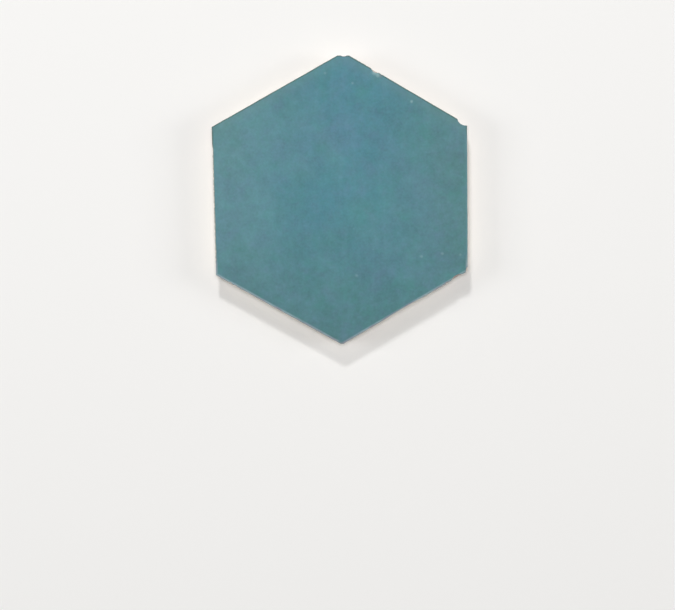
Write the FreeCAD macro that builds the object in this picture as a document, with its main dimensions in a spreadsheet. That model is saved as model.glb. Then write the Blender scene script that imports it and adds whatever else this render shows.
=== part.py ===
import FreeCAD, Part
import math
import os

import Sketcher

# A hexagon floor tile, cut by hand with a hammer from a slab of clay that was glazed and fired.
# It is one piece. The glazed face is up, the raw back lies on z = 0, and the origin is the middle
# of the back. Y points to the corner with the broken tip.

doc = FreeCAD.newDocument("hexagon_floor_tile")

# Sizes in millimetres and degrees: name, value, what it is on the tile.
SIZES = [
    ("across_flats", 127.0, "between opposite edges of the glazed face, a five inch tile"),
    ("thickness", 12.5, "from the back to the highest point of the face"),
    ("crown", 0.35, "how far the face falls from its middle to its corners"),
    ("skim", 0.3, "what the crowning takes off the raw slab at its middle"),
    ("arris_radius", 0.5, "roll of the glaze over the edge of the face"),
    ("land", 3.0, "depth of the clean break under the face, before the bevel starts"),
    ("land_lean", 5.0, "inward lean of the clean break"),
    ("bevel_lean", 13.0, "usual inward lean of the bevel that the hammer cuts"),
    ("blow_width", 8.5, "width of one hammer blow along the bevel"),
    ("blow_scatter", 0.9, "how far the end of a blow lies from an even row"),
    ("blow_radius", 22.0, "roundness of the hollow that one blow leaves"),
]

# The six cuts of the outline, by compass point: the way the edge faces, how much wider or narrower
# than the template it was cut, how far it is turned, and how much more than usual its bevel leans.
CUTS = [
    ("north_east", 60, 0.75, -0.38, 0.0),
    ("north_west", 120, 0.04, -0.38, -1.5),
    ("west", 180, 0.35, 1.65, 1.5),
    ("south_west", 240, 0.16, 1.15, -1.0),
    ("south_east", 300, -0.2, 0.36, 2.0),
    ("east", 360, -0.05, 0.22, -0.5),
]

# The two corners that are broken off: the way the break faces, and how much shorter than the
# template it leaves the corner.
BREAKS = [
    ("tip", 90, 1.3),
    ("foot", 270, 0.8),
]
AROUND = ["north_east", "tip", "north_west", "west", "south_west", "foot", "south_east", "east"]

# Flakes that came off the edge of the face: the edge it is on, the neighbour that it lies near, its
# place along the edge from their corner, how far its centre lies outside the edge, and its half
# length, half width and depth.
FLAKES = [
    ("tip_flake", "tip", "north_east", 2.8, 0.9, 2.0, 1.5, 7.0),
    ("edge_flake", "north_east", "tip", 14.9, 0.6, 2.3, 1.7, 1.8),
    ("corner_flake", "north_east", "east", 2.7, 1.5, 3.6, 3.0, 12.0),
    ("side_flake", "west", "north_west", 11.9, 0.6, 3.0, 1.05, 2.5),
    ("heel_flake", "south_east", "east", 6.4, 0.8, 3.5, 2.1, 3.0),
    ("long_flake", "south_east", "east", 38.0, 1.0, 18.0, 1.5, 12.0),
]

# How the hammer blows of one bevel scatter, as shares of blow_scatter. Each bevel starts at
# another place in the list.
SCATTER = [0.0, 0.8, -0.5, 0.3, -1.0, 0.6, 1.0, -0.7, -0.2, 0.5, -0.9, 0.4, 0.9, -0.4]
SPARE_BLOWS = 3
CROWN_REACH = 0.6

sheet = doc.addObject("Spreadsheet::Sheet", "Sizes")
sizes = {}


def add_size(name, value, meaning):
    """Write one driving size into the sheet and keep its value for the first drawing."""
    row = len(sizes) + 1
    sheet.set(f"A{row}", meaning)
    sheet.set(f"B{row}", str(value))
    sheet.setAlias(f"B{row}", name)
    sizes[name] = value


for name, value, meaning in SIZES:
    add_size(name, value, meaning)
for name, facing, gain, turn, extra_lean in CUTS:
    add_size(name + "_gain", gain, "how much further out than the template this edge was cut")
    add_size(name + "_turn", turn, "how far this edge is turned from the template")
    add_size(name + "_extra_lean", extra_lean, "how much more than usual its bevel leans")
for name, facing, loss in BREAKS:
    add_size(name + "_loss", loss, "how much shorter than the template the corner is left")
for name, edge, neighbour, place, outset, half_length, half_width, depth in FLAKES:
    add_size(name + "_place", place, "place along its edge, from the corner")
    add_size(name + "_outset", outset, "how far the centre of the flake lies outside its edge")
    add_size(name + "_half_length", half_length, "half the flake's length along the edge")
    add_size(name + "_half_width", half_width, "half the flake's width across the edge")
    add_size(name + "_depth", depth, "how deep the flake runs down the side")
doc.recompute()

tile = doc.addObject("PartDesign::Body", "hexagon_tile")
tile.Label = "hexagon_tile"
planes = {feature.Role: feature for feature in tile.Origin.OriginFeatures}

# Where each edge of the face lies: its distance from the middle and the way that it faces, as
# formulas on the sheet and as numbers. The two broken corners are short edges of their own.
across_corners = sizes["across_flats"] / math.cos(math.radians(30))
edges = {}
for name, facing, gain, turn, extra_lean in CUTS:
    edges[name] = {
        "distance": f"(Sizes.across_flats / 2 + Sizes.{name}_gain)",
        "facing": f"({facing} + Sizes.{name}_turn)",
        "bevel_lean": f"(Sizes.bevel_lean + Sizes.{name}_extra_lean)",
        "distance_value": sizes["across_flats"] / 2 + gain,
        "facing_value": facing + turn,
        "length": across_corners / 2,
    }
for name, facing, loss in BREAKS:
    edges[name] = {
        "distance": f"(Sizes.across_flats / (2 * cos(30)) - Sizes.{name}_loss)",
        "facing": f"({facing})",
        "bevel_lean": "Sizes.bevel_lean",
        "distance_value": across_corners / 2 - loss,
        "facing_value": facing,
        "length": 2 * loss * math.tan(math.radians(60)),
    }


def outward(edge):
    """The direction that an edge faces, in the plane of the face."""
    angle = math.radians(edge["facing_value"])
    return FreeCAD.Vector(math.cos(angle), math.sin(angle), 0)


def meeting_point(first, second):
    """The corner where the lines of two edges cross."""
    a = outward(first)
    b = outward(second)
    turn = a.x * b.y - a.y * b.x
    x = (first["distance_value"] * b.y - second["distance_value"] * a.y) / turn
    y = (second["distance_value"] * a.x - first["distance_value"] * b.x) / turn
    return FreeCAD.Vector(x, y, 0)


def new_sketch(name, plane, offset):
    """A sketch on one of the body's own planes, moved by a placement formula."""
    sketch = tile.newObject("Sketcher::SketchObject", name)
    sketch.AttachmentSupport = [(planes[plane], "")]
    sketch.MapMode = "FlatFace"
    sketch.setExpression("AttachmentOffset", offset)
    doc.recompute()
    return sketch


def bind(sketch, constraint, formula):
    """Add a constraint and tie it to a formula on the sheet."""
    index = sketch.addConstraint(constraint)
    sketch.setExpression(f"Constraints[{index}]", formula)


# The outline of the face: each edge is held by its distance from the middle and its direction.
outline = new_sketch(
    "face_outline", "XY_Plane",
    "placement(vector(0; 0; Sizes.thickness + Sizes.skim); rotation(0; 0; 0))")
ring = [edges[name] for name in AROUND]
for index, edge in enumerate(ring):
    start = meeting_point(ring[index - 1], edge)
    end = meeting_point(edge, ring[(index + 1) % len(ring)])
    outline.addGeometry(Part.LineSegment(start, end), False)
for index in range(len(ring)):
    following = (index + 1) % len(ring)
    outline.addConstraint(Sketcher.Constraint("Coincident", index, 2, following, 1))
for index, edge in enumerate(ring):
    far = edge["distance_value"]
    bind(outline, Sketcher.Constraint("Distance", -1, 1, index, far), edge["distance"])
    along = math.radians(edge["facing_value"] + 90)
    bind(outline, Sketcher.Constraint("Angle", index, along), f"{edge['facing']} + 90")
doc.recompute()

# The raw slab, from its flat top down to the back, and the lean of the clean break under the face.
slab = tile.newObject("PartDesign::Pad", "slab")
slab.Profile = outline
slab.Type = "Length"
slab.Reversed = True
slab.setExpression("Length", "Sizes.thickness + Sizes.skim")
doc.recompute()
sides = []
for index, face in enumerate(slab.Shape.Faces):
    if abs(face.normalAt(0, 0).z) < 0.5:
        sides.append(f"Face{index + 1}")
    elif face.CenterOfMass.z > sizes["thickness"] / 2:
        flat_face = f"Face{index + 1}"
lean = tile.newObject("PartDesign::Draft", "lean")
lean.Base = (slab, sides)
lean.NeutralPlane = (slab, [flat_face])
lean.Reversed = True
lean.setExpression("Angle", "Sizes.land_lean")
doc.recompute()

# The crown of the face: what lies above a shallow dome is turned away, all over the raw slab. The
# dome is turned about a level line through its centre, far under the tile.
AXIS_LENGTH = 10.0
PLAIN = "placement(vector(0; 0; 0); rotation(0; 0; 0))"
reach = sizes["across_flats"] * CROWN_REACH
dome_radius = (reach ** 2 + sizes["crown"] ** 2) / (2 * sizes["crown"])
dome_reach = f"(Sizes.across_flats * {CROWN_REACH})"
dome_formula = f"(({dome_reach}^2 + Sizes.crown^2) / (2 * Sizes.crown))"
dome_section = new_sketch("crown_section", "XZ_Plane", PLAIN)
left_rim = FreeCAD.Vector(-reach, sizes["thickness"] - sizes["crown"], 0)
top = FreeCAD.Vector(0, sizes["thickness"], 0)
right_rim = FreeCAD.Vector(reach, sizes["thickness"] - sizes["crown"], 0)
over_right = FreeCAD.Vector(reach, 2 * sizes["thickness"], 0)
over_left = FreeCAD.Vector(-reach, 2 * sizes["thickness"], 0)
centre = FreeCAD.Vector(0, sizes["thickness"] - dome_radius, 0)
axis_end = FreeCAD.Vector(AXIS_LENGTH, centre.y, 0)
dome_section.addGeometry(Part.Arc(right_rim, top, left_rim), False)
dome_section.addGeometry(Part.LineSegment(left_rim, over_left), False)
dome_section.addGeometry(Part.LineSegment(over_left, over_right), False)
dome_section.addGeometry(Part.LineSegment(over_right, right_rim), False)
dome_section.addGeometry(Part.LineSegment(centre, axis_end), True)
for index in range(4):
    dome_section.addConstraint(Sketcher.Constraint("Coincident", index, 2, (index + 1) % 4, 1))
dome_section.addConstraint(Sketcher.Constraint("Vertical", 1))
dome_section.addConstraint(Sketcher.Constraint("Horizontal", 2))
dome_section.addConstraint(Sketcher.Constraint("Vertical", 3))
dome_section.addConstraint(Sketcher.Constraint("Coincident", 0, 3, 4, 1))
dome_section.addConstraint(Sketcher.Constraint("Horizontal", 4))
dome_section.addConstraint(Sketcher.Constraint("PointOnObject", 4, 1, -2))
dome_section.addConstraint(Sketcher.Constraint("DistanceX", 4, 1, 4, 2, AXIS_LENGTH))
centre_height = Sketcher.Constraint("DistanceY", -1, 1, 0, 3, centre.y)
cut_height = Sketcher.Constraint("DistanceY", -1, 1, 1, 2, over_left.y)
bind(dome_section, Sketcher.Constraint("Radius", 0, dome_radius), dome_formula)
bind(dome_section, centre_height, f"Sizes.thickness - {dome_formula}")
bind(dome_section, Sketcher.Constraint("DistanceX", -1, 1, 0, 1, reach), dome_reach)
bind(dome_section, Sketcher.Constraint("DistanceX", 0, 2, -1, 1, reach), dome_reach)
bind(dome_section, cut_height, "2 * Sizes.thickness")
doc.recompute()
crown = tile.newObject("PartDesign::Groove", "crown")
crown.Profile = dome_section
crown.ReferenceAxis = (dome_section, ["Axis0"])
crown.Midplane = True
crown.setExpression("Angle", f"4 * asin({dome_reach} / {dome_formula})")
doc.recompute()

# The rolled edge of the glaze runs all round the domed face.
domed_faces = [
    f"Face{index + 1}" for index, face in enumerate(crown.Shape.Faces)
    if isinstance(face.Surface, Part.Sphere)]
arris = tile.newObject("PartDesign::Fillet", "arris")
arris.Base = (crown, domed_faces)
arris.setExpression("Radius", "Sizes.arris_radius")
doc.recompute()


def cut_bevel(name, first_scatter):
    """Cut the bevel of one edge: a row of hammer blows, each a round hollow that runs down to
    the back and grows deeper on the way."""
    edge = edges[name]
    count = math.ceil(edge["length"] / sizes["blow_width"]) + SPARE_BLOWS
    widest = sizes["blow_width"] + 2 * sizes["blow_scatter"]
    rise = widest ** 2 / (8 * sizes["blow_radius"])
    inset = "Sizes.land * tan(Sizes.land_lean)"
    out = f"({edge['distance']} - {inset})"
    sketch = new_sketch(
        name + "_blows", "XY_Plane",
        f"placement(vector({out} * cos({edge['facing']}); {out} * sin({edge['facing']});"
        f" Sizes.thickness - Sizes.land); rotation({edge['facing']} - 90; 0; -{edge['bevel_lean']}))")
    places = []
    formulas = []
    for blow in range(count + 1):
        share = SCATTER[(blow + first_scatter) % len(SCATTER)]
        step = blow - count / 2
        places.append(step * sizes["blow_width"] + share * sizes["blow_scatter"])
        formulas.append(f"{step} * Sizes.blow_width + {share} * Sizes.blow_scatter")
    for left, right in zip(places, places[1:]):
        sag = sizes["blow_radius"] - math.sqrt(sizes["blow_radius"] ** 2 - (right - left) ** 2 / 4)
        sketch.addGeometry(Part.Arc(
            FreeCAD.Vector(left, rise, 0), FreeCAD.Vector((left + right) / 2, rise - sag, 0),
            FreeCAD.Vector(right, rise, 0)), False)
    corners = [
        FreeCAD.Vector(places[-1], rise, 0), FreeCAD.Vector(places[-1], sizes["thickness"], 0),
        FreeCAD.Vector(places[0], sizes["thickness"], 0), FreeCAD.Vector(places[0], rise, 0)]
    for start, end in zip(corners, corners[1:]):
        sketch.addGeometry(Part.LineSegment(start, end), False)
    pieces = count + 3
    for index in range(pieces):
        sketch.addConstraint(Sketcher.Constraint("Coincident", index, 2, (index + 1) % pieces, 1))
    rise_formula = "(Sizes.blow_width + 2 * Sizes.blow_scatter)^2 / (8 * Sizes.blow_radius)"
    for index in range(count):
        bind(sketch, Sketcher.Constraint("Radius", index, sizes["blow_radius"]), "Sizes.blow_radius")
    for index, (place, formula) in enumerate(zip(places, formulas)):
        bind(sketch, Sketcher.Constraint("DistanceX", -1, 1, index, 1, place), formula)
        bind(sketch, Sketcher.Constraint("DistanceY", -1, 1, index, 1, rise), rise_formula)
    sketch.addConstraint(Sketcher.Constraint("Vertical", count))
    sketch.addConstraint(Sketcher.Constraint("Horizontal", count + 1))
    sketch.addConstraint(Sketcher.Constraint("Vertical", count + 2))
    outer_side = Sketcher.Constraint("DistanceY", -1, 1, count, 2, sizes["thickness"])
    bind(sketch, outer_side, "Sizes.thickness")
    doc.recompute()
    bevel = tile.newObject("PartDesign::Pocket", name + "_bevel")
    bevel.Profile = sketch
    bevel.Type = "Length"
    bevel.setExpression("Length", f"2 * Sizes.thickness / cos({edge['bevel_lean']})")
    doc.recompute()
    return bevel


def corner_place(edge, neighbour):
    """Where an edge meets its neighbour: the place along the edge, from the foot of the line that
    runs square to it from the middle, as a formula. It is below zero on a neighbour's near side."""
    turn = f"({neighbour['facing']} - {edge['facing']})"
    return f"(({neighbour['distance']} - {edge['distance']} * cos{turn}) / sin{turn})"


def cut_flake(name, edge, neighbour):
    """Take one flake off the edge of the face, tied to the corner that it lies near."""
    flake = tile.newObject("PartDesign::SubtractiveEllipsoid", name)
    flake.AttachmentSupport = [(planes["XY_Plane"], "")]
    flake.MapMode = "FlatFace"
    flake.setExpression("Radius1", f"Sizes.{name}_depth")
    flake.setExpression("Radius2", f"Sizes.{name}_half_width")
    flake.setExpression("Radius3", f"Sizes.{name}_half_length")
    out = f"({edge['distance']} + Sizes.{name}_outset)"
    turn = math.radians(neighbour["facing_value"] - edge["facing_value"])
    inwards = "-" if math.sin(turn) > 0 else "+"
    place = f"({corner_place(edge, neighbour)} {inwards} Sizes.{name}_place)"
    facing = edge["facing"]
    flake.setExpression(
        "AttachmentOffset",
        f"placement(vector({out} * cos({facing}) - {place} * sin({facing});"
        f" {out} * sin({facing}) + {place} * cos({facing});"
        f" Sizes.thickness - Sizes.crown); rotation({facing}; 0; 0))")
    doc.recompute()
    return flake


def check_smaller(feature, before):
    """A cut has to take material away, and leave one solid."""
    after = feature.Shape.Volume
    print(f"{feature.Name}: {before - after:.1f} mm3 cut away, {len(feature.Shape.Solids)} solid")
    if not 0 < before - after < before or len(feature.Shape.Solids) != 1:
        raise RuntimeError(f"{feature.Name} does not cut as it should")
    return after


print(f"slab: {slab.Shape.Volume:.0f} mm3")
volume = slab.Shape.Volume
for feature in (lean, crown, arris):
    volume = check_smaller(feature, volume)
for index, name in enumerate(AROUND):
    volume = check_smaller(cut_bevel(name, 2 * index), volume)
for name, edge, neighbour, *measures in FLAKES:
    volume = check_smaller(cut_flake(name, edges[edge], edges[neighbour]), volume)

for item in doc.Objects:
    if "Invalid" in item.State or "Error" in item.State:
        raise RuntimeError(f"{item.Name} failed: {item.State}")
shape = tile.Shape
if shape.isNull() or not shape.isValid() or len(shape.Solids) != 1:
    raise RuntimeError("hexagon_tile is not one valid solid")
box = shape.BoundBox
print(f"{tile.Label}: {box.XLength:.2f} x {box.YLength:.2f} mm, {shape.Volume:.0f} mm3")

os.makedirs("parts", exist_ok=True)
path = f"parts/{tile.Label}.step"
shape.exportStep(path)
written = Part.read(path)
if not written.isValid() or len(written.Solids) != 1:
    raise RuntimeError(f"{path} does not hold one valid solid")
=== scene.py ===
# %% [markdown]
# A hexagon floor tile, glazed blue-green and cut by hand. The imported solid is the measure of
# everything here: it is loaded first, and its box is kept. All lengths below are in millimetres, and
# only the finished mesh, the floor, the camera and the lamps are written in Blender's metres.

import math

import bpy
import numpy as np
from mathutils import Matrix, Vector, noise
from mathutils.bvhtree import BVHTree


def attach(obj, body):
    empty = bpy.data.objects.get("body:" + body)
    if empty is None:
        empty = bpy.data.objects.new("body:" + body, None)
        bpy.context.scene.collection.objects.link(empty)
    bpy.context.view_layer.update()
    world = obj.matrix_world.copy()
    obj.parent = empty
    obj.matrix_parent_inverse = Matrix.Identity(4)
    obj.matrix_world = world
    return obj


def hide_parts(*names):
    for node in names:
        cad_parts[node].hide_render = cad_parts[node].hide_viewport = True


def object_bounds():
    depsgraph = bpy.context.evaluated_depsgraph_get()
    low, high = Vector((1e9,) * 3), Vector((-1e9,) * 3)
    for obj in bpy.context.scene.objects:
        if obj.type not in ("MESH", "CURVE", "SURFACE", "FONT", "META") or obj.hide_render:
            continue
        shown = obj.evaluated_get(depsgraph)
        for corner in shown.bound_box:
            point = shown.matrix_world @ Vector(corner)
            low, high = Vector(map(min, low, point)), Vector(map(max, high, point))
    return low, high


MM = 0.001
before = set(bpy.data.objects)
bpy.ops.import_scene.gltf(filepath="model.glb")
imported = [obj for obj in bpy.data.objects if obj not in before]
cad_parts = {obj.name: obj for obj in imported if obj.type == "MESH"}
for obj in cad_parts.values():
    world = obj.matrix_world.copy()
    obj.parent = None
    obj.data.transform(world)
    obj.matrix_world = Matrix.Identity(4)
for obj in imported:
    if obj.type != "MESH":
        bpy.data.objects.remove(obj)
cad_low, cad_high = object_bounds()
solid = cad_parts["hexagon_tile"]
size = (cad_high - cad_low) / MM
print(f"the tile is {size.x:.1f} x {size.y:.1f} x {size.z:.1f} mm")

# %% [markdown]
# The photograph looks straight down on the tile from well above it, so its sides don't show.
# A long lens from 1.3 m gives that flat view. The camera stands where the middle of the picture
# is, 53 mm below the tile's own middle, so that the tile sits in the upper half of the frame with
# no lens shift.

# %% Camera
PHOTO_WIDTH = 675
PHOTO_HEIGHT = 610
# Millimetres to one pixel of the photograph.
PIXEL = 0.5
TILE_MIDDLE_X = 341
TILE_MIDDLE_Y = 199
CAMERA_ABOVE_FACE = 1300.0
SENSOR_WIDTH = 36.0

scene = bpy.context.scene
lens = bpy.data.cameras.new("camera")
lens.sensor_width = SENSOR_WIDTH
lens.lens = SENSOR_WIDTH * CAMERA_ABOVE_FACE / (PHOTO_WIDTH * PIXEL)
camera = bpy.data.objects.new("camera", lens)
camera.location = (
    (PHOTO_WIDTH / 2 - TILE_MIDDLE_X) * PIXEL * MM,
    (TILE_MIDDLE_Y - PHOTO_HEIGHT / 2) * PIXEL * MM,
    (size.z + CAMERA_ABOVE_FACE) * MM)
scene.collection.objects.link(camera)
scene.camera = camera
scene.view_settings.view_transform = "Standard"
print(f"lens {lens.lens:.0f} mm, camera at {tuple(round(v, 3) for v in camera.location)} m")

# %% [markdown]
# A Blender area lamp is bright by its power. The helper below works the other way: it is told how
# bright the lamp should make a white floor, as a share of full white, and works out the power. The
# lamps and the sky add up to one, so a colour renders about as it is written. The photograph's
# shadows tell where its lamps stood. The short sharp shadow under the lower edges comes from a key
# lamp beyond the top of the picture. The faint wide ones at both sides come from two low soft lamps.
# The floor is bright right up to the tile, so most of the light falls straight down. The overhead
# lamp works as a polarised one does: it isn't mirrored, or it would veil the glaze.

# %% Lamps
OVERHEAD_SHARE = 0.42
KEY_SHARE = 0.23
EAST_SHARE = 0.11
WEST_SHARE = 0.12


def add_lamp(name, share, side, distance, azimuth, elevation):
    """A square lamp aimed at the tile. Side and distance are in metres, the angles in degrees.

    Azimuth 0 is the photograph's right, and 90 is its top.
    """
    turn = math.radians(azimuth)
    rise = math.radians(elevation)
    away = Vector((math.cos(turn) * math.cos(rise), math.sin(turn) * math.cos(rise), math.sin(rise)))
    lamp = bpy.data.lights.new(name, "AREA")
    lamp.shape = "SQUARE"
    lamp.size = side
    lamp.energy = share * (math.pi * distance) ** 2 / math.sin(rise)
    holder = bpy.data.objects.new(name, lamp)
    holder.location = away * distance
    holder.rotation_mode = "QUATERNION"
    holder.rotation_quaternion = away.to_track_quat("Z", "Y")
    scene.collection.objects.link(holder)
    print(f"{name}: {lamp.energy:.1f} W")
    return holder


overhead = add_lamp("overhead_lamp", OVERHEAD_SHARE, 0.55, 2.2, 90, 88)
overhead.visible_glossy = False
add_lamp("key_lamp", KEY_SHARE, 0.2, 1.8, 99, 47)
add_lamp("east_lamp", EAST_SHARE, 0.7, 1.8, 0, 27)
add_lamp("west_lamp", WEST_SHARE, 0.7, 1.8, 180, 30)

# %% [markdown]
# Materials are written as sums. The class below wraps one output socket, so that 1 - mask or
# cloud * 0.3 adds the Math nodes by itself. A Math node turns a colour grey, so colours are blended
# with mix(), and every other node comes from node(), which takes the node's type, its settings and
# what goes into its sockets.

# %% Shader sums


class Wire:
    """One output socket of a material, or the empty material before its first node."""

    def __init__(self, tree, socket=None):
        self.tree = tree
        self.socket = socket

    def node(self, kind, settings=None, values=None, output=0):
        made = self.tree.nodes.new(kind)
        for key, setting in (settings or {}).items():
            setattr(made, key, setting)
        for key, value in (values or {}).items():
            if isinstance(value, Wire):
                self.tree.links.new(value.socket, made.inputs[key])
            else:
                made.inputs[key].default_value = value
        return Wire(self.tree, made.outputs[output] if made.outputs else None)

    def math(self, operation, other, swapped=False):
        pair = (other, self) if swapped else (self, other)
        return self.node("ShaderNodeMath", {"operation": operation}, dict(enumerate(pair)))

    def __add__(self, other):
        return self.math("ADD", other)

    def __radd__(self, other):
        return self.math("ADD", other, True)

    def __sub__(self, other):
        return self.math("SUBTRACT", other)

    def __rsub__(self, other):
        return self.math("SUBTRACT", other, True)

    def __mul__(self, other):
        return self.math("MULTIPLY", other)

    def __rmul__(self, other):
        return self.math("MULTIPLY", other, True)

    def ramp(self, low, high):
        """0 below low, 1 above high and a smooth climb between them."""
        return self.node(
            "ShaderNodeMapRange", {"interpolation_type": "SMOOTHSTEP"},
            {"Value": self, "From Min": low, "From Max": high})

    def mix(self, first, second):
        """The first colour where this value is 0, the second where it is 1."""
        return self.node(
            "ShaderNodeMix", {"data_type": "RGBA"}, {"Factor": self, 6: first, 7: second}, 2)


def colour(red, green, blue):
    """A colour as a paint program gives it, 0 to 255, as Blender's linear values."""
    def linear(part):
        share = part / 255
        return share / 12.92 if share <= 0.04045 else ((share + 0.055) / 1.055) ** 2.4
    return (linear(red), linear(green), linear(blue), 1)


def new_material(name):
    material = bpy.data.materials.new(name)
    material.use_nodes = True
    material.node_tree.nodes.clear()
    return material, Wire(material.node_tree)


print(f"a mid grey, 128 of 255, is {colour(128, 128, 128)[0]:.3f} as a linear value")


# %% [markdown]
# The room is white to look at and in reflections, but it gives only the share of light that the
# lamps leave. The Light Path node tells the kinds of ray apart.

# %% The white room
SKY_SHARE = 1 - OVERHEAD_SHARE - KEY_SHARE - EAST_SHARE - WEST_SHARE
world = bpy.data.worlds.new("room")
world.use_nodes = True
world.node_tree.nodes.clear()
scene.world = world
room = Wire(world.node_tree)
camera_ray = room.node("ShaderNodeLightPath")
glossy_ray = room.node("ShaderNodeLightPath", None, None, "Is Glossy Ray")
through_ray = room.node("ShaderNodeLightPath", None, None, "Is Transmission Ray")
looked_at = (camera_ray + glossy_ray + through_ray).math("MINIMUM", 1)
light = room.node("ShaderNodeBackground", None, {
    "Color": (1, 1, 1, 1), "Strength": looked_at * (1 - SKY_SHARE) + SKY_SHARE})
room.node("ShaderNodeOutputWorld", None, {"Surface": light})
print(f"the room gives {SKY_SHARE:.2f} of the light")

# %% [markdown]
# The floor is a plain pale sheet, so that it keeps the tile's shadow and nothing else.

# %% Floor
FLOOR_SIDE = 6.0
FLOOR_COLOUR = colour(246, 245, 243)
bpy.ops.mesh.primitive_plane_add(size=FLOOR_SIDE)
floor = bpy.context.object
floor.name = "floor"
floor_material, paint = new_material("pale_floor")
paper = paint.node("ShaderNodeBsdfDiffuse", None, {"Color": FLOOR_COLOUR})
paint.node("ShaderNodeOutputMaterial", None, {"Surface": paper})
floor.data.materials.append(floor_material)
print(f"the floor is {FLOOR_SIDE:.0f} m square")

# %% [markdown]
# The tile's mesh is made of rings, like a hexagonal onion: from the middle of the face out to the
# edge, down the side and back to the middle of the underside. Each point is the end of a ray that
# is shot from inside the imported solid, so the dressed tile lies exactly on it. First, the six long
# cuts and the two broken corners are read off the solid with a few rays each, so that a row of
# points can run down each corner and keep it crisp. Flakes only take clay away, so a cut's true
# line is the one that no ray ends outside of.

# %% Measure the cuts
UNDER_RIM = 11.3
CUT_RAYS = range(-24, 25, 3)
BREAK_RAYS = (-1.0, -0.5, 0.0, 0.5, 1.0)

tree = BVHTree.FromPolygons(
    [vertex.co / MM for vertex in solid.data.vertices],
    [polygon.vertices for polygon in solid.data.polygons])
middle_height = size.z / 2


def reach(starts, directions):
    """How far each ray runs before it leaves the solid."""
    return np.array([
        tree.ray_cast(Vector(start), Vector(direction))[3]
        for start, direction in zip(starts, directions)])


def heading(degrees):
    angle = math.radians(degrees)
    return np.array([math.cos(angle), math.sin(angle), 0])


def wall(degrees, height):
    """Where a level ray from the middle leaves the solid."""
    start = np.array([0, 0, height])
    return start + heading(degrees) * reach([start], [heading(degrees)])[0]


def read_cut(facing):
    """The line of one long cut, through two of its rays' ends."""
    places = [wall(facing + turn, UNDER_RIM) for turn in CUT_RAYS]
    half = len(places) // 2
    lines = []
    for first in places[:half]:
        for second in places[-half:]:
            along = (second - first) / np.linalg.norm(second - first)
            normal = np.array([along[1], -along[0], 0])
            distance = float(first @ normal)
            outside = max(float(place @ normal) for place in places) - distance
            lines.append({"normal": normal, "along": along, "distance": distance, "outside": outside})
    return min(lines, key=lambda line: line["outside"])


def read_break(facing):
    """The line of a broken corner, which lies square to its own heading."""
    normal = heading(facing)
    ends = [float(wall(facing + turn, UNDER_RIM) @ normal) for turn in BREAK_RAYS]
    return {"normal": normal, "distance": max(ends)}


cuts = [read_cut(facing) for facing in (0, 60, 120, 180, 240, 300)]
outline = cuts[:2] + [read_break(90)] + cuts[2:5] + [read_break(270)] + cuts[5:]
corners = []
for line, following in zip(outline, outline[1:] + outline[:1]):
    pair = np.array([line["normal"][:2], following["normal"][:2]])
    corners.append(np.linalg.solve(pair, [line["distance"], following["distance"]]))
for cut in cuts:
    print(f"a cut at {cut['distance']:.2f} mm from the middle, {cut['outside']:.3f} mm outside it")

# %% [markdown]
# Now the rays. The rings crowd at the glazed edge, where chips and broken clay need fine steps, and
# the inner rings have fewer and fewer points, because the middle of the face is calm. The rays of
# the side are level. Those of the edge fan out from a spine six millimetres inside it. Keeping each
# point on its ray matters later: whatever is chipped off only shortens rays, so that the mesh can't
# fold over itself.

# %% Lay the rings
STATIONS = 1024
SPINE_INSET = 6.0
FACE_STEP = 0.95
BACK_STEP = 1.2
SMALLEST_RING = 32
SIDE_LEVELS = [0.03, 0.2] + [0.45 + 0.46 * step for step in range(20)] + [
    9.6, 9.95, 10.3, 10.6, 10.88, 11.12, 11.32, 11.48]
FACE_FAN = [0.018, 0.034, 0.05, 0.064, 0.078, 0.092, 0.108, 0.126, 0.148, 0.176, 0.21, 0.26, 0.33,
            0.42, 0.53, 0.66, 0.82, 1.0]
BACK_FAN = [0.06, 0.14, 0.25, 0.4, 0.6, 0.8, 1.0]

corner_angles = np.sort([math.degrees(math.atan2(y, x)) % 360 for x, y in corners])
corner_stations = np.round(corner_angles / 360 * STATIONS)
laps = np.array([-1, 0, 1])[:, None]
turns = np.interp(
    np.arange(STATIONS),
    (corner_stations + STATIONS * laps).ravel(),
    (corner_angles + 360 * laps).ravel())
headings = np.array([heading(turn) for turn in turns])
up_axis = np.array([0, 0, 1])


def level_ring(height):
    """The starts and the directions of the rays of one ring of the side."""
    return np.tile(up_axis * height, (STATIONS, 1)), headings


spine = reach(*level_ring(middle_height)) - SPINE_INSET
spine_starts = headings * spine[:, None] + up_axis * middle_height


def flat_ring(share, count, up):
    """A ring of the face or the back, a share of the way out to the spine."""
    every = STATIONS // count
    starts = headings[::every] * (spine[::every] * share)[:, None] + up_axis * middle_height
    return starts, np.tile(up_axis * up, (count, 1))


def flat_rings(step, up):
    """Rings from the middle out to just short of the spine, with fewer points further in."""
    rings = []
    for index in range(1, round(spine.mean() / step)):
        share = index * step / spine.mean()
        count = STATIONS // 2
        while count // 2 >= SMALLEST_RING and share < count / STATIONS:
            count //= 2
        rings.append(flat_ring(share, count, up))
    return rings


def fan_ring(height, share, up):
    """A ring between the level ring at a height and the point right above or below the spine."""
    first = np.arctan2((height - middle_height) * up, reach(*level_ring(height)) - spine)
    lift = first + (math.pi / 2 - first) * share
    directions = headings * np.cos(lift)[:, None] + up_axis * up * np.sin(lift)[:, None]
    return spine_starts, directions


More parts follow.
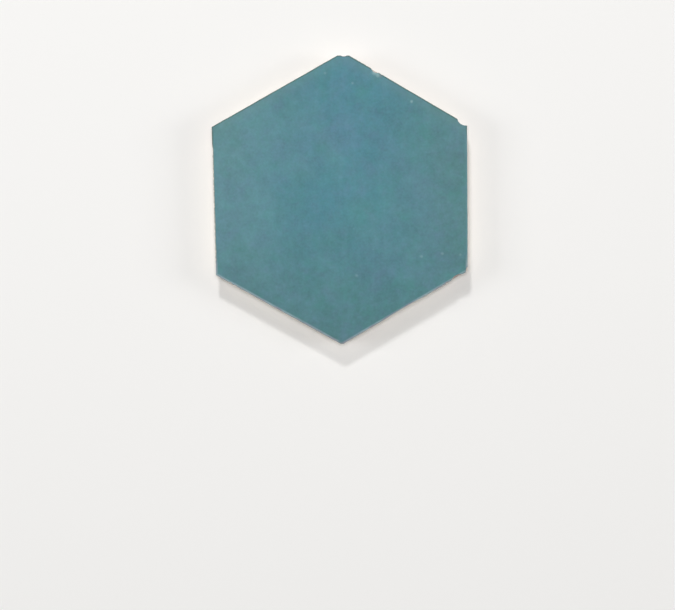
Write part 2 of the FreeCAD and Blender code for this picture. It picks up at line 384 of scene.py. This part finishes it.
rings = flat_rings(FACE_STEP, 1)
rings += [fan_ring(SIDE_LEVELS[-1], share, 1) for share in reversed(FACE_FAN)]
rings += [level_ring(height) for height in reversed(SIDE_LEVELS)]
rings += [fan_ring(SIDE_LEVELS[0], share, -1) for share in BACK_FAN]
rings += list(reversed(flat_rings(BACK_STEP, -1)))
face_middle = (up_axis[None] * middle_height, up_axis[None])
back_middle = (up_axis[None] * middle_height, -up_axis[None])
starts = np.vstack([face_middle[0]] + [ring[0] for ring in rings] + [back_middle[0]])
directions = np.vstack([face_middle[1]] + [ring[1] for ring in rings] + [back_middle[1]])
reaches = reach(starts, directions)
uncut = reaches.copy()
surface = starts + directions * reaches[:, None]
print(f"{len(rings)} rings, {len(surface)} points")

# %% [markdown]
# Neighbouring rings are sewn together with four-sided faces. Where a ring has half as many points
# as the next one, three triangles fill each gap, and a fan of triangles closes each middle.

# %% Sew the rings


def sew(inner_start, inner_count, outer_start, outer_count):
    """Faces between two rings. The first ring is nearer the middle of the face."""
    faces = []
    if inner_count == outer_count:
        for index in range(inner_count):
            after = (index + 1) % inner_count
            faces.append((
                inner_start + index, outer_start + index, outer_start + after, inner_start + after))
    elif outer_count == 2 * inner_count:
        for index in range(inner_count):
            a = inner_start + index
            b = inner_start + (index + 1) % inner_count
            first, second = outer_start + 2 * index, outer_start + 2 * index + 1
            third = outer_start + (2 * index + 2) % outer_count
            faces += [(a, first, second), (a, second, b), (b, second, third)]
    else:
        mirrored = sew(outer_start, outer_count, inner_start, inner_count)
        faces = [tuple(reversed(face)) for face in mirrored]
    return faces


counts = [len(ring[0]) for ring in rings]
offsets = np.cumsum([1] + counts)
last = len(surface) - 1
faces = [(0, 1 + index, 1 + (index + 1) % counts[0]) for index in range(counts[0])]
for index in range(len(rings) - 1):
    faces += sew(offsets[index], counts[index], offsets[index + 1], counts[index + 1])
end = offsets[-2]
faces += [(last, end + (index + 1) % counts[-1], end + index) for index in range(counts[-1])]
print(f"{len(faces)} faces")

# %% [markdown]
# Two measures place the chips and most of the colours: how far a point lies inside the rim, and
# how deep it lies under the domed face.

# %% Rim and depth
DOME_RADIUS_AT = 50.0
face_top = surface[0, 2]
dome_place = np.array([[0, DOME_RADIUS_AT, middle_height]])
dome_drop = face_top - (middle_height + reach(dome_place, [up_axis])[0])
dome_fall = dome_drop / DOME_RADIUS_AT ** 2


def rim_distance(places):
    return np.min([line["distance"] - places @ line["normal"] for line in outline], axis=0)


def face_height(places):
    return face_top - dome_fall * (places[:, 0] ** 2 + places[:, 1] ** 2)


print(f"the face falls {dome_drop:.2f} mm over {DOME_RADIUS_AT:.0f} mm")

# %% [markdown]
# The side of a hand-cut tile is broken clay: each blow of the hammer knocks out shallow hollows
# with sharp ridges between them. Each hollow is taken out by a ball: a ray that would run into the
# ball stops at it. Noise makes the balls ragged, because clay is grainy and never breaks in a clean
# circle. Wide flat balls make the facets of the broken side, small ones its pits, and the smallest
# nibble the glazed edge.

# %% Carve the sides and the edge
rng = np.random.default_rng(7)
NIBBLE_REACH = 31.0
CLEAN_TOP = 11.7
BALL_MARGIN = 1.5
RAGGED = 0.3


def cloud(places, scale, octaves):
    """Soft noise between about -1 and 1, with details of about 1 / scale mm."""
    return np.array([noise.fractal(Vector(place * scale), 0.9, 2.0, octaves) for place in places])


ragged = RAGGED * cloud(surface, 0.4, 5)


def carve(centre, ball_radius):
    """Shorten the rays that run into a ball, and say how many did."""
    close = np.flatnonzero(np.linalg.norm(surface - centre, axis=1) < ball_radius + BALL_MARGIN)
    radius = ball_radius + ragged[close] * min(1, ball_radius / 2)
    toward = centre - starts[close]
    along = np.sum(toward * directions[close], axis=1)
    missed = np.sum(toward ** 2, axis=1) - along ** 2
    entry = along - np.sqrt(np.maximum(radius ** 2 - missed, 0))
    shorter = (missed < radius ** 2) & (entry > 0) & (entry < reaches[close])
    reaches[close[shorter]] = entry[shorter]
    return int(shorter.sum())


def knock_off(cut, place, height, radius, depth):
    """Take a hollow out of the side of one cut, with a blow square to the side where it lands."""
    spot = cut["normal"] * cut["distance"] + cut["along"] * place
    degrees = math.degrees(math.atan2(spot[1], spot[0]))
    rise = wall(degrees, height + 0.5) - wall(degrees, height - 0.5)
    strike = np.cross(cut["along"], rise)
    strike /= np.linalg.norm(strike)
    return carve(wall(degrees, height) + strike * (radius - depth), radius)


def chip_edge(cut, place, lean, radius, depth):
    """Take a chip off the glazed edge of one cut. Lean 0 strikes level, 90 from straight above."""
    edge = cut["normal"] * cut["distance"] + cut["along"] * place
    edge[2] = face_top - dome_fall * (edge @ edge)
    strike = cut["normal"] * math.cos(math.radians(lean)) + up_axis * math.sin(math.radians(lean))
    return carve(edge + strike * (radius - depth), radius)


# Each kind of hollow: how many to a side, how far from its middle they reach, least and greatest
# radius, least and greatest depth. None reaches above the clean break under the glaze.
HOLLOWS = [
    ("facets", 36, 30.0, 10.0, 28.0, 0.3, 0.85),
    ("flakes", 60, 32.0, 3.0, 9.0, 0.15, 0.5),
    ("pits", 40, 34.0, 0.5, 1.3, 0.15, 0.4),
]
for name, each, spread, least, most, shallow, deep in HOLLOWS:
    moved = 0
    for cut in cuts:
        for blow in range(each):
            place = rng.uniform(-spread, spread)
            radius = rng.uniform(least, most)
            hollow = rng.uniform(shallow, deep)
            height = rng.uniform(0.6, CLEAN_TOP - math.sqrt(2 * radius * (hollow + RAGGED)))
            moved += knock_off(cut, place, height, radius, hollow)
    print(f"{name}: {moved} points moved")

NIBBLES_PER_SIDE = 30
moved = 0
for cut in cuts:
    for nibble in range(NIBBLES_PER_SIDE):
        place = rng.uniform(-NIBBLE_REACH, NIBBLE_REACH)
        lean = rng.uniform(20, 55)
        moved += chip_edge(cut, place, lean, rng.uniform(0.7, 2.0), rng.uniform(0.03, 0.2))
print(f"nibbles: {moved} points moved")

# %% [markdown]
# Some chips are where the photograph shows them. The longest runs down the left edge, where the
# glaze has broken away in a thin line and the pale clay shows all along. It is a row of small chips
# that overlap.

# %% Chips seen in the photograph
# Place in the photograph, lean of the blow in degrees, radius and depth in millimetres.
SEEN_CHIPS = [
    (231, 283, 40, 1.5, 0.5),
    (235, 286, 50, 1.2, 0.4),
    (259, 298, 45, 1.0, 0.35),
    (447, 283, 40, 1.5, 0.5),
    (443, 285, 50, 1.1, 0.35),
    (339, 56, 30, 0.9, 0.25),
    (381, 75, 45, 0.9, 0.3),
    (467.5, 270.5, 45, 2.2, 0.9),
    (296, 318, 40, 1.2, 0.35),
    (392, 313, 45, 1.1, 0.35),
]
LEFT_LINE_TOP = 148
LEFT_LINE_BOTTOM = 262
LEFT_LINE_STEP = 1.3


def photo_place(x, y):
    """A place of the photograph on the face of the tile, in millimetres."""
    return np.array([(x - TILE_MIDDLE_X) * PIXEL, (TILE_MIDDLE_Y - y) * PIXEL, 0])


moved = 0
for x, y, lean, radius, depth in SEEN_CHIPS:
    seen = photo_place(x, y)
    cut = min(cuts, key=lambda line: line["distance"] - seen @ line["normal"])
    moved += chip_edge(cut, seen @ cut["along"], lean, radius, depth)
west = cuts[3]
top = photo_place(TILE_MIDDLE_X, LEFT_LINE_TOP) @ west["along"]
bottom = photo_place(TILE_MIDDLE_X, LEFT_LINE_BOTTOM) @ west["along"]
for place in np.arange(min(top, bottom), max(top, bottom), LEFT_LINE_STEP):
    radius = rng.uniform(1.4, 2.6)
    shifted = place + rng.uniform(-0.5, 0.5)
    lean = rng.uniform(38, 60)
    moved += chip_edge(west, shifted, lean, radius, rng.uniform(0.2, 0.45))
print(f"seen chips: {moved} points moved")

# %% [markdown]
# Fired clay is grainy, the back was scraped flat while it was wet, and a cut by hand is never quite
# straight. The grain and the scrapes shorten rays again. The wander of the cut moves the points
# near the rim a little towards the middle. Last, the glaze was brushed over a hand-pressed slab, so
# the face gets a slow waviness, which is what makes its reflections swim. Everything only goes
# inwards, so that the tile stays inside its box.

# %% Grain, scrapes and waviness
GRAIN = 0.16
SCRAPE = 0.09
SCRAPE_TURN = 24.0
SCRAPE_STRETCH = 0.06
BACK_RELIEF = 0.14
WANDER = 0.14
WANDER_WIDTH = 5.0
WAVE = 0.1
RIPPLE = 0.02


def smooth(values, low, high):
    """0 below low, 1 above high and a smooth climb between them."""
    share = np.clip((values - low) / (high - low), 0, 1)
    return share * share * (3 - 2 * share)


points = starts + directions * reaches[:, None]
depth = face_height(points) - points[:, 2]
rim = rim_distance(points)
on_back = directions[:, 2] < -0.5
bare = smooth(depth, 0.3, 0.9) * ~on_back
rough = bare > 0
reaches[rough] -= bare[rough] * GRAIN * np.clip(1 + cloud(points[rough], 0.55, 4), 0, None)

scrape_across = points[on_back] @ heading(SCRAPE_TURN + 90)
scrape_along = points[on_back] @ heading(SCRAPE_TURN)
scrape_places = np.column_stack([scrape_across, scrape_along * SCRAPE_STRETCH, 0 * scrape_along])
scrapes = np.clip(cloud(scrape_places, 0.5, 3), 0, None)
lumps = np.clip(1 + cloud(points[on_back], 0.12, 5), 0, None)
reaches[on_back] -= SCRAPE * scrapes + BACK_RELIEF * lumps * smooth(rim[on_back], -1, 5)

points = starts + directions * reaches[:, None]
level_places = points * [1, 1, 0]
inward = WANDER * np.clip(0.5 + 0.5 * cloud(level_places, 0.07, 3), 0, 1)
inward *= 1 - smooth(rim, 0, WANDER_WIDTH)
points[:, :2] *= (1 - inward / np.maximum(np.linalg.norm(points[:, :2], axis=1), 1))[:, None]
wave = WAVE * (cloud(points, 0.045, 2) - 1) + RIPPLE * (cloud(points + 300, 0.16, 2) - 1)
points[:, 2] += np.minimum(wave, 0) * (1 - smooth(depth, 0, 3))
points[:, 2] = np.clip(points[:, 2], 0, cad_high.z / MM)
print(f"the waviness is {-wave.max():.2f} to {-wave.min():.2f} mm deep")

# %% [markdown]
# The side's hollows are painted darker, as painted shade and settled dust, and its ridges paler, as a
# painted highlight. To place that, what was taken off each point of the side is compared with the
# mean of its neighbours: it is in a hollow if it lost more than they did.

# %% Hollows and ridges
AROUND = 6
ABOVE = 2
first_side = offsets[next(index for index, ring in enumerate(rings) if ring[1] is headings)]
side = slice(first_side, first_side + len(SIDE_LEVELS) * STATIONS)
grid = (uncut - reaches)[side].reshape(len(SIDE_LEVELS), STATIONS)
padded = np.pad(grid, ((ABOVE, ABOVE), (0, 0)), mode="reflect", reflect_type="odd")
rows = np.mean([padded[shift:shift + len(grid)] for shift in range(2 * ABOVE + 1)], axis=0)
mean_loss = np.mean([np.roll(rows, shift, axis=1) for shift in range(-AROUND, AROUND + 1)], axis=0)
hollow_depth = np.zeros(len(points))
hollow_depth[side] = (grid - mean_loss).ravel()
print(f"hollows to {hollow_depth.max():.2f} mm deep, ridges to {-hollow_depth.min():.2f} mm high")

# %% [markdown]
# Points and faces become one Blender mesh. The three measures go with it as attributes, so that
# the material can read them at every point, wherever the tile is moved. A freshly broken side
# has crisp ridges and a glaze has none. Smooth shading with a low sharp angle gives both: an edge
# is drawn sharp only where two faces turn by more than that angle.

# %% Make the mesh
SHARP_ANGLE = 16.0
mesh = bpy.data.meshes.new("hexagon_tile_dressed")
mesh.from_pydata((points * MM).tolist(), [], faces)
for name, values in (("depth", depth), ("rim", rim), ("hollow", hollow_depth)):
    layer = mesh.attributes.new(name, "FLOAT", "POINT")
    layer.data.foreach_set("value", values.astype(np.float32))
mesh.polygons.foreach_set("use_smooth", [True] * len(mesh.polygons))
mesh.set_sharp_from_angle(angle=math.radians(SHARP_ANGLE))
mesh.update()
print(f"one mesh of {len(mesh.vertices)} points and {len(mesh.polygons)} faces")

# %% [markdown]
# One material covers the whole tile, because the glaze isn't a separate piece: it is the top third
# of a millimetre. The depth under the face decides what shows. Above the glaze's thickness the
# surface is glass, below it clay, so every chip that cuts through the glaze bares the clay by
# itself. This cell sets out what the colours are placed by.

# %% Where the colours go
material, paint = new_material("glazed_clay")
position = paint.node("ShaderNodeTexCoord", None, None, 3)
place = paint.node("ShaderNodeVectorMath", {"operation": "SCALE"}, {0: position, "Scale": 1 / MM})
depth_wire = paint.node("ShaderNodeAttribute", {"attribute_name": "depth"}, None, 2)
rim_wire = paint.node("ShaderNodeAttribute", {"attribute_name": "rim"}, None, 2)
hollow_wire = paint.node("ShaderNodeAttribute", {"attribute_name": "hollow"}, None, 2)
across = paint.node("ShaderNodeSeparateXYZ", None, {0: place}, 0)
upward = paint.node("ShaderNodeSeparateXYZ", None, {0: place}, 1)


def speck(scale, detail=2.0, roughness=0.5, where=None, seed=0.0):
    """Noise from 0 to 1 with spots of about 1 / scale mm."""
    settings = {"noise_dimensions": "4D"}
    return paint.node("ShaderNodeTexNoise", settings, {
        "Vector": where or place, "W": seed, "Scale": scale, "Detail": detail, "Roughness": roughness})


print(f"{material.name} has {len(material.node_tree.nodes)} nodes to place its colours by")


# %% [markdown]
# The glaze is a coloured glass, thick enough to look even from afar and never even close by. The
# base colour drifts from a bluer middle to a paler left, which is a painted sheen, a greyer right and
# a greener bottom. Over it lie four sizes of soft clouds, which turn it towards teal in one place and
# towards slate in another, as copper and iron do in a kiln. Long faint strokes run up the tile, where
# the brush went. Pale and dark patches follow, from thumb-wide ones down to grains. Last, noise of
# five sizes is multiplied on. A mix would pull the colour towards another one, but a factor only
# makes it lighter or darker and keeps its hue.

# %% Glaze
GLAZE_MIDDLE = colour(68, 124, 138)
GLAZE_LEFT_SHEEN = colour(87, 132, 138)
GLAZE_RIGHT = colour(76, 120, 123)
GLAZE_BOTTOM = colour(63, 109, 112)
GLAZE_TEAL = colour(64, 131, 125)
GLAZE_SLATE = colour(90, 119, 146)
GLAZE_PALE = colour(104, 150, 158)
GLAZE_DARK = colour(62, 108, 118)
BRUSH_STRETCH = 0.06
# Each layer's scale, strength and seed.
CLOUDS = [(0.035, 0.26, 3.1), (0.09, 0.34, 5.7), (0.25, 0.22, 9.2), (0.6, 0.14, 1.4)]
SHADES = [
    (0.05, 0.12, 41.0), (0.11, 0.16, 42.5), (0.22, 0.16, 45.8), (0.45, 0.17, 48.1), (0.95, 0.2, 51.6)]

drift = speck(0.018, 2.0) * 24 - 12
# Painted sheen: the glaze is paler towards the left.
glaze = (0 - across + drift).ramp(5, 62).mix(GLAZE_MIDDLE, GLAZE_LEFT_SHEEN)
glaze = (across + drift).ramp(10, 66).mix(glaze, GLAZE_RIGHT)
glaze = (0 - upward + drift).ramp(0, 75).mix(glaze, GLAZE_BOTTOM)
for scale, strength, seed in CLOUDS:
    teal = speck(scale, 2.0, 0.5, None, seed).ramp(0.45, 0.75) * strength
    glaze = teal.mix(glaze, GLAZE_TEAL)
    slate = speck(scale, 2.0, 0.5, None, seed + 20).ramp(0.45, 0.75) * strength
    glaze = slate.mix(glaze, GLAZE_SLATE)
brushed = paint.node("ShaderNodeVectorMath", {"operation": "MULTIPLY"}, {
    0: place, 1: (1, BRUSH_STRETCH, 1)})
strokes = speck(0.35, 3.0, 0.6, brushed)
glaze = (strokes.ramp(0.5, 0.8) * 0.1).mix(glaze, GLAZE_PALE)
glaze = (speck(0.05, 3.0, 0.55, None, 11.0).ramp(0.45, 0.8) * 0.22).mix(glaze, GLAZE_PALE)
glaze = (speck(0.07, 3.0, 0.55, None, 17.0).ramp(0.5, 0.85) * 0.22).mix(glaze, GLAZE_DARK)
glaze = (speck(0.9, 3.0, 0.6, None, 14.0).ramp(0.5, 0.8) * 0.14).mix(glaze, GLAZE_PALE)
fine = speck(0.85, 2.0, 0.6)
glaze = (fine.ramp(0.5, 0.8) * 0.14).mix(glaze, GLAZE_DARK)
lightness = 1
for scale, strength, seed in SHADES:
    lightness = (speck(scale, 0.0, 0.5, None, seed) - 0.5) * strength + lightness
glaze = paint.node("ShaderNodeVectorMath", {"operation": "SCALE"}, {
    0: glaze, "Scale": lightness})
print(f"glaze: {len(CLOUDS)} sizes of clouds, {len(SHADES)} of light and dark")

# %% [markdown]
# The glaze ran down from the upper edges, so it is a little paler near them. The very rim is painted
# a darker green, as painted shade on the rolled edge, and the lower rims get a paler line, a painted
# highlight. Along the left edge it wore to a fine pale line. A few specks of lime under the glaze
# show as pale dots, and a pale smear lies behind the chip at the upper right. These are where the
# photograph has them. The rest are strewn by a Voronoi texture, of which only the cells with a high
# random value get a dot.

# %% Rim and specks
RIM_SHADE_GREEN = colour(62, 94, 84)
RIM_THIN = colour(114, 150, 146)
RIM_HIGHLIGHT = colour(150, 170, 176)
RIM_HIGHLIGHT_BLUSH = colour(146, 144, 156)
RIM_WORN = colour(196, 198, 190)
SPECK_PALE = colour(158, 188, 190)
CHIP_MAUVE = colour(140, 124, 130)
DOT_SCALE = 0.11
# Place in the photograph, radius in millimetres, strength.
SEEN_SPECKS = [
    (411.5, 101.5, 0.6, 0.6),
    (421.5, 256.5, 0.6, 0.25),
    (442.5, 253.5, 0.6, 0.25),
    (460.5, 254.5, 0.6, 0.25),
    (352.5, 83.0, 0.5, 0.25),
    (356.5, 275.5, 0.6, 0.2),
    (325.0, 73.0, 0.5, 0.25),
    (374.5, 72.3, 1.0, 0.6),
    (378.0, 74.7, 0.9, 0.5),
]
rim_noise = speck(0.3, 3.0, 0.6, None, 2.0)
uneven_rim = rim_wire + rim_noise * 0.6
upper_rim = upward.ramp(28, 38)
lower_rim = 1 - upward.ramp(-34, -26)
right_rim = across.ramp(58, 61) * (1 - upper_rim)
glaze = ((1 - rim_wire.ramp(1.0, 7)) * upper_rim * 0.19).mix(glaze, RIM_THIN)
# Painted shade: the very rim is darkened green, except along the lower and right edges.
shaded_rim = (1 - lower_rim) * (1 - right_rim)
glaze = ((1 - uneven_rim.ramp(0.5, 1.3)) * shaded_rim * 0.8).mix(glaze, RIM_SHADE_GREEN)
glaze = ((1 - uneven_rim.ramp(0.6, 1.5)) * right_rim * (1 - lower_rim) * 0.4).mix(glaze, GLAZE_PALE)
worn_side = (0 - across).ramp(56, 60) * (1 - upward.ramp(24, 28))
glaze = ((1 - uneven_rim.ramp(0.45, 1.05)) * worn_side * (1 - lower_rim) * 0.75).mix(glaze, RIM_WORN)
# Painted highlight: a pale line along the lower rims, bluish in places and lilac in others.
pale = speck(0.12, 2.0, 0.5, None, 21.0).ramp(0.4, 0.6).mix(RIM_HIGHLIGHT, RIM_HIGHLIGHT_BLUSH)
glaze = ((1 - uneven_rim.ramp(0.8, 1.6)) * lower_rim * rim_noise.ramp(0.2, 0.5) * 0.75).mix(glaze, pale)


def near(x, y, radius):
    """1 at a place of the photograph, falling to 0 at about twice the radius, with a ragged edge."""
    seen = photo_place(x, y)
    apart = paint.node("ShaderNodeVectorMath", {"operation": "DISTANCE"}, {
        0: place, 1: (seen[0], seen[1], face_top)}, 1)
    return 1 - (apart + (rim_noise - 0.5) * radius * 2).ramp(0.1, 2 * radius)


for x, y, radius, strength in SEEN_SPECKS:
    glaze = (near(x, y, radius) * strength).mix(glaze, SPECK_PALE)
# The lower end of the pale smear is darkened to mauve.
glaze = (near(381.0, 76.0, 0.6) * 0.5).mix(glaze, CHIP_MAUVE)
dots = paint.node("ShaderNodeTexVoronoi", None, {"Vector": place, "Scale": DOT_SCALE})
chance = paint.node("ShaderNodeTexVoronoi", None, {"Vector": place, "Scale": DOT_SCALE}, 1)
lucky = paint.node("ShaderNodeSeparateXYZ", None, {0: chance}, 0).ramp(0.6, 0.62)
glaze = ((1 - dots.ramp(0.02, 0.07)) * lucky * 0.3).mix(glaze, GLAZE_PALE)
print(f"{len(SEEN_SPECKS)} pale spots placed where the photograph has them")

# %% [markdown]
# The body is a pale low-fired clay: cream with pinkish patches, darker grains and bright specks of
# lime. Just under the glaze it is paler still, because the glaze's own white base soaked in.

# %% Clay
GLAZE_THICKNESS = 0.3
GLAZE_UNEVEN = 0.24
GLAZE_FADE = 0.015
MARK_STRETCH = 0.05
CLAY_CREAM = colour(230, 219, 200)
CLAY_PINK = colour(219, 203, 191)
CLAY_GRAIN = colour(172, 155, 141)
CLAY_LIME_AND_HIGHLIGHT = colour(240, 234, 220)
CLAY_DUST_AND_SHADE = colour(180, 165, 148)
CLAY_SLIP = colour(214, 210, 202)
CLAY_GREY = colour(176, 178, 174)

clay = speck(0.07, 3.0, 0.55, None, 6.0).ramp(0.38, 0.65).mix(CLAY_CREAM, CLAY_PINK)
clay = (speck(0.28, 4.0, 0.6, None, 8.0).ramp(0.5, 0.8) * 0.6).mix(clay, CLAY_DUST_AND_SHADE)
clay = (speck(1.4, 4.0, 0.7, None, 1.0).ramp(0.52, 0.78) * 0.5).mix(clay, CLAY_GRAIN)
clay = (speck(3.0, 2.0, 0.5, None, 4.0).ramp(0.62, 0.72) * 0.6).mix(clay, CLAY_LIME_AND_HIGHLIGHT)
# Painted shade and dust: the hollows of the side are darker.
clay = (hollow_wire.ramp(0.0, 0.3) * 0.45).mix(clay, CLAY_DUST_AND_SHADE)
back_wire = depth_wire.ramp(11.6, 12.1)
scraped = speck(0.7, 4.0, 0.65, paint.node("ShaderNodeVectorMath", {"operation": "MULTIPLY"}, {
    0: place, 1: (MARK_STRETCH, 1, 1)}), 62.0)
clay = (back_wire * scraped.ramp(0.5, 0.8) * 0.5).mix(clay, CLAY_DUST_AND_SHADE)
# Painted highlight: the ridges of the side are paler.
clay = ((0 - hollow_wire).ramp(0.06, 0.3) * 0.45).mix(clay, CLAY_LIME_AND_HIGHLIGHT)
clay = ((1 - depth_wire.ramp(0.6, 1.4)) * 0.8).mix(clay, CLAY_SLIP)
# The chip at the upper right is worn grey. The one at the lower right is darkened mauve as painted
# shade.
clay = (near(373.5, 72.0, 2.0) * 0.8).mix(clay, CLAY_GREY)
clay = (near(455.0, 275.5, 3.5) * 0.7).mix(clay, CHIP_MAUVE)
glaze_edge = speck(0.9, 3.0) * GLAZE_UNEVEN + (GLAZE_THICKNESS - GLAZE_UNEVEN / 2)
clay_shows = (depth_wire - glaze_edge).ramp(-GLAZE_FADE, GLAZE_FADE)
print(f"the glaze is {GLAZE_THICKNESS} mm thick, uneven by up to {GLAZE_UNEVEN / 2:.2f} mm")

# %% [markdown]
# Glass is smooth and clay is matt, so the same mask that picks the colour picks the roughness. The
# small bumps are too fine for the mesh: an orange-peel skin on the glaze, grit on the clay.

# %% Put the material together
GLAZE_ROUGHNESS = 0.26
CLAY_ROUGHNESS = 0.92
UNEVEN_GLOSS = 0.08
BUMP_DEPTH = 0.5
ORANGE_PEEL = 0.015
grit = speck(1.8, 6.0, 0.7) + back_wire * scraped
relief = clay_shows * grit + (1 - clay_shows) * fine * ORANGE_PEEL
gloss = fine * UNEVEN_GLOSS + GLAZE_ROUGHNESS
skin = paint.node("ShaderNodeBsdfPrincipled", None, {
    "Base Color": clay_shows.mix(glaze, clay),
    "Roughness": clay_shows * (CLAY_ROUGHNESS - GLAZE_ROUGHNESS) + gloss,
    "Normal": paint.node("ShaderNodeBump", None, {
        "Strength": 1.0, "Distance": BUMP_DEPTH * MM, "Height": relief})})
paint.node("ShaderNodeOutputMaterial", None, {"Surface": skin})
mesh.materials.append(material)
print(f"{material.name}: {len(material.node_tree.nodes)} nodes")

# %% [markdown]
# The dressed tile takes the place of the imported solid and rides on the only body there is.

# %% Put the tile in place
tile = bpy.data.objects.new("hexagon_tile_dressed", mesh)
scene.collection.objects.link(tile)
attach(tile, "root")
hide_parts("hexagon_tile")
print(f"{tile.name} stands in for {solid.name}")

# %% [markdown]
# Everything above only took clay away, so the dressed tile has to lie inside the imported solid's
# box.

# %% Measure and finish
print("triangles:", sum(len(polygon.vertices) - 2 for polygon in mesh.polygons))
